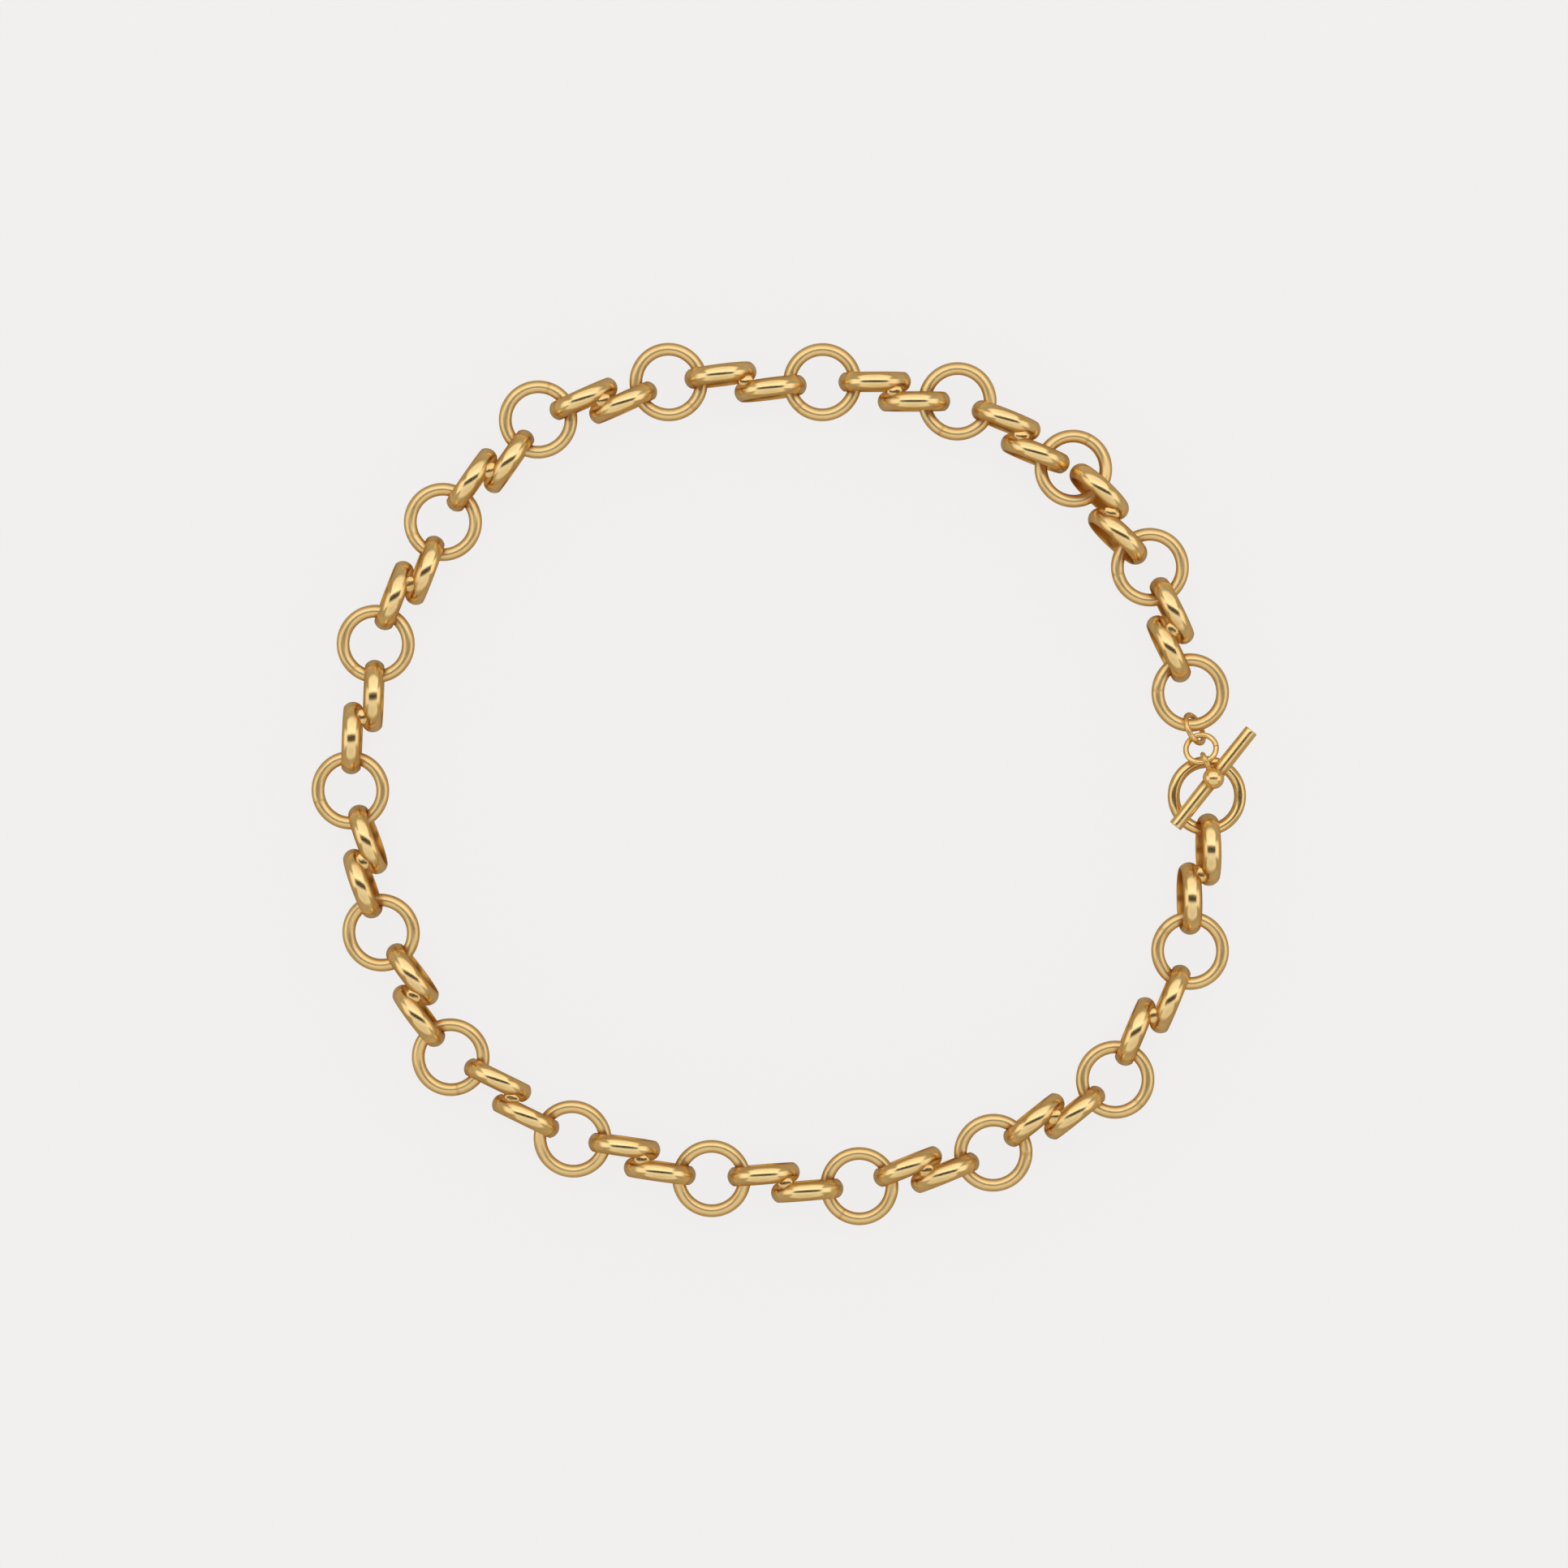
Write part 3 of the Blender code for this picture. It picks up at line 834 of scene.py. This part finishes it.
            # Painted shade round the poles, where the bar goes in.
            vertex[painted_shade] = max(0.0, end - 0.72) * 2.2
            vertex[rub] = 0.3 * (1.0 - end)
        turn = along.to_track_quat("Z", "Y").to_matrix().to_4x4()
        bmesh.ops.transform(shell, matrix=Matrix.Translation(centre) @ turn, verts=shell.verts)
        merge(target, shell)

    def eye(self, target: bmesh.types.BMesh, centre: Vector, towards: Vector) -> None:
        """Add the eye that the jump ring passes through, standing on edge.

        Args:
            target: The piece's shell.
            centre: The eye's centre.
            towards: The level direction from the ball to the eye.
        """
        radius = (self.eye_outer - self.eye_wire) / 2
        shell = wire_torus(radius, self.eye_wire, 56, 18)
        self.mark_inside(shell, radius, self.eye_wire)
        place = placement(towards, UP, towards.cross(UP), centre)
        bmesh.ops.transform(shell, matrix=place, verts=shell.verts)
        merge(target, shell)

    def collar(self, target: bmesh.types.BMesh, centre: Vector, towards: Vector) -> None:
        """Add the solder between the ball and its eye.

        Args:
            target: The piece's shell.
            centre: The solder's centre.
            towards: The level direction from the ball to the eye.
        """
        shell = bmesh.new()
        bmesh.ops.create_uvsphere(shell, u_segments=24, v_segments=14,
                                  radius=self.collar_radius)
        painted_shade, rub = marks(shell)
        for vertex in shell.verts:
            vertex.co.z *= 0.7
            # The whole solder collar is in painted shade.
            vertex[painted_shade] = 0.7
            vertex[rub] = 0.0
        turn = towards.to_track_quat("Z", "Y").to_matrix().to_4x4()
        bmesh.ops.transform(shell, matrix=Matrix.Translation(centre) @ turn, verts=shell.verts)
        merge(target, shell)


# ---------------------------------------------------------------- studio

@dataclass(frozen=True)
class Softbox:
    """A flat soft lamp that points at the necklace."""

    name: str
    place: Triple
    size: tuple[float, float]
    glow: float              # radiance of its face
    fade: float              # share of the glow lost at the edge far from overhead

    def light(self, target: Vector) -> bpy.types.Object:
        """Hang the lamp.

        Args:
            target: The point that it faces.

        Returns:
            The lamp.
        """
        lamp = bpy.data.lights.new(self.name, "AREA")
        lamp.shape = "RECTANGLE"
        lamp.size, lamp.size_y = self.size
        lamp.energy = 4.0 * self.glow * self.size[0] * self.size[1]
        bench = Bench(lamp)
        spot = bench.value("ShaderNodeNewGeometry", {}, {}, "Parametric")
        inward = bench.value("ShaderNodeSeparateXYZ", {}, {0: spot}, 1)
        strength = inward * self.fade + (1.0 - self.fade)
        glow = bench.value("ShaderNodeEmission", {}, {"Strength": strength})
        bench.add("ShaderNodeOutputLight", {}, {"Surface": glow})
        holder = bpy.data.objects.new(self.name, lamp)
        bpy.context.scene.collection.objects.link(holder)
        holder.location = target + Vector(self.place)
        facing = (target - holder.location).normalized()
        holder.rotation_euler = facing.to_track_quat("-Z", "Y").to_euler()
        holder.visible_camera = False
        return holder


@dataclass
class Studio:
    """A pale table, two large overhead softboxes with a dark slot between them, and a camera."""

    lens: float = 300.0
    sensor: float = 36.0
    view_width: float = 268.0 * MM
    view_height_above_table: float = 5.7 * MM
    table_size: float = 12.0
    table_tone: float = 0.945
    table_lit: float = 0.86      # share of its look that is an even glow
    table_matt: Colour = (0.62, 0.55, 0.44)
    horizon: Colour = (0.40, 0.355, 0.27)
    overhead: float = 0.01
    dusk: float = 0.72           # height on the room's dome, from 0 to 1, above which it is dark
    dusk_speed: float = 3.0      # how fast it brightens below that height
    boxes: tuple[Softbox, ...] = (
        Softbox("softbox_far", (0.0, 0.70, 0.79), (2.1, 1.18), 1.14, 0.62),
        Softbox("softbox_near", (0.0, -0.70, 0.79), (2.1, 1.18), 0.78, 0.62),
        Softbox("softbox_left", (-1.25, 0.0, 0.62), (1.0, 1.0), 0.80, 0.5),
        Softbox("softbox_right", (1.25, 0.0, 0.62), (1.0, 1.0), 0.80, 0.5),
    )

    def table(self) -> bpy.types.Object:
        """Lay the plain table.

        The camera sees it evenly lit, as a lightbox top is. The gold reflects it darker.
        """
        shell = bmesh.new()
        bmesh.ops.create_grid(shell, x_segments=1, y_segments=1, size=self.table_size / 2)
        data = bpy.data.meshes.new("table")
        shell.to_mesh(data)
        shell.free()
        top = bpy.data.objects.new("table", data)
        bpy.context.scene.collection.objects.link(top)
        paint = bpy.data.materials.new("table_top")
        bench = Bench(paint)
        seen = bench.value("ShaderNodeLightPath", {}, {}, "Is Camera Ray")
        tone = (self.table_tone,) * 3 + (1.0,)
        matt = bench.value("ShaderNodeBsdfDiffuse", {}, {"Color": (*self.table_matt, 1.0)})
        lit = bench.value("ShaderNodeEmission", {}, {"Color": tone, "Strength": 1.0})
        mixed = bench.value("ShaderNodeMixShader", {}, {0: seen * self.table_lit, 1: matt, 2: lit})
        bench.add("ShaderNodeOutputMaterial", {}, {"Surface": mixed})
        data.materials.append(paint)
        top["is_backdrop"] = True
        return top

    def world(self) -> None:
        """Fill the room with a dim light that dies out towards the ceiling."""
        room = bpy.data.worlds.new("room")
        bench = Bench(room)
        way = bench.value("ShaderNodeTexCoord", {}, {}, "Generated")
        height = bench.value("ShaderNodeSeparateXYZ", {}, {0: way}, 2)
        low = ((self.dusk - height) * self.dusk_speed).clamped()
        colour = bench.blend(low, (self.overhead,) * 3, self.horizon)
        shine = bench.value("ShaderNodeBackground", {}, {"Color": colour})
        bench.add("ShaderNodeOutputWorld", {}, {"Surface": shine})
        bpy.context.scene.world = room

    def camera(self, centre: Vector) -> bpy.types.Object:
        """Hang the camera straight above the necklace.

        Args:
            centre: The middle of the necklace on the table.

        Returns:
            The camera.
        """
        data = bpy.data.cameras.new("camera")
        data.lens = self.lens
        data.sensor_width = self.sensor
        holder = bpy.data.objects.new("camera", data)
        bpy.context.scene.collection.objects.link(holder)
        distance = self.view_width * self.lens / self.sensor
        holder.location = centre + UP * (self.view_height_above_table + distance)
        bpy.context.scene.camera = holder
        return holder

    def build(self, centre: Vector) -> None:
        """Set the whole studio round a point on the table.

        Args:
            centre: The middle of the necklace on the table.
        """
        self.table()
        self.world()
        self.camera(centre)
        for box in self.boxes:
            box.light(centre)
        view = bpy.context.scene.view_settings
        view.view_transform = "Standard"
        view.look = "None"
        LOG.info("studio has %d softboxes", len(self.boxes))


# ---------------------------------------------------------------- assembly

def main() -> None:
    """Build the necklace's pieces, rings then links then the clasp, then the studio."""
    logging.basicConfig(level=logging.INFO, format="%(name)s: %(message)s")
    cad_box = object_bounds()
    for finish in Finish:
        finish.value.material()
    nodes = sorted(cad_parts)
    rings, links, clasp = WireRings(), DoubleLoops(), ToggleClasp()
    for node in [name for name in nodes if name.startswith("ring_")]:
        rings.build(f"{node}_wire", node)
    for node in [name for name in nodes if name.startswith("link_")]:
        links.build(f"{node}_loops", node)
    clasp.toggle_ring("toggle_ring_wire", "toggle_ring")
    for node in SLIT_TURNS:
        clasp.jump_ring(f"{node}_wire", node)
    clasp.toggle_bar("toggle_bar_cast", "toggle_bar")
    made = rings.made + links.made + clasp.made
    LOG.info("%d pieces made", len(made))

    low, high = cad_box
    Studio().build(Vector(((low.x + high.x) / 2, (low.y + high.y) / 2, 0.0)))


if __name__ == "__main__":
    main()
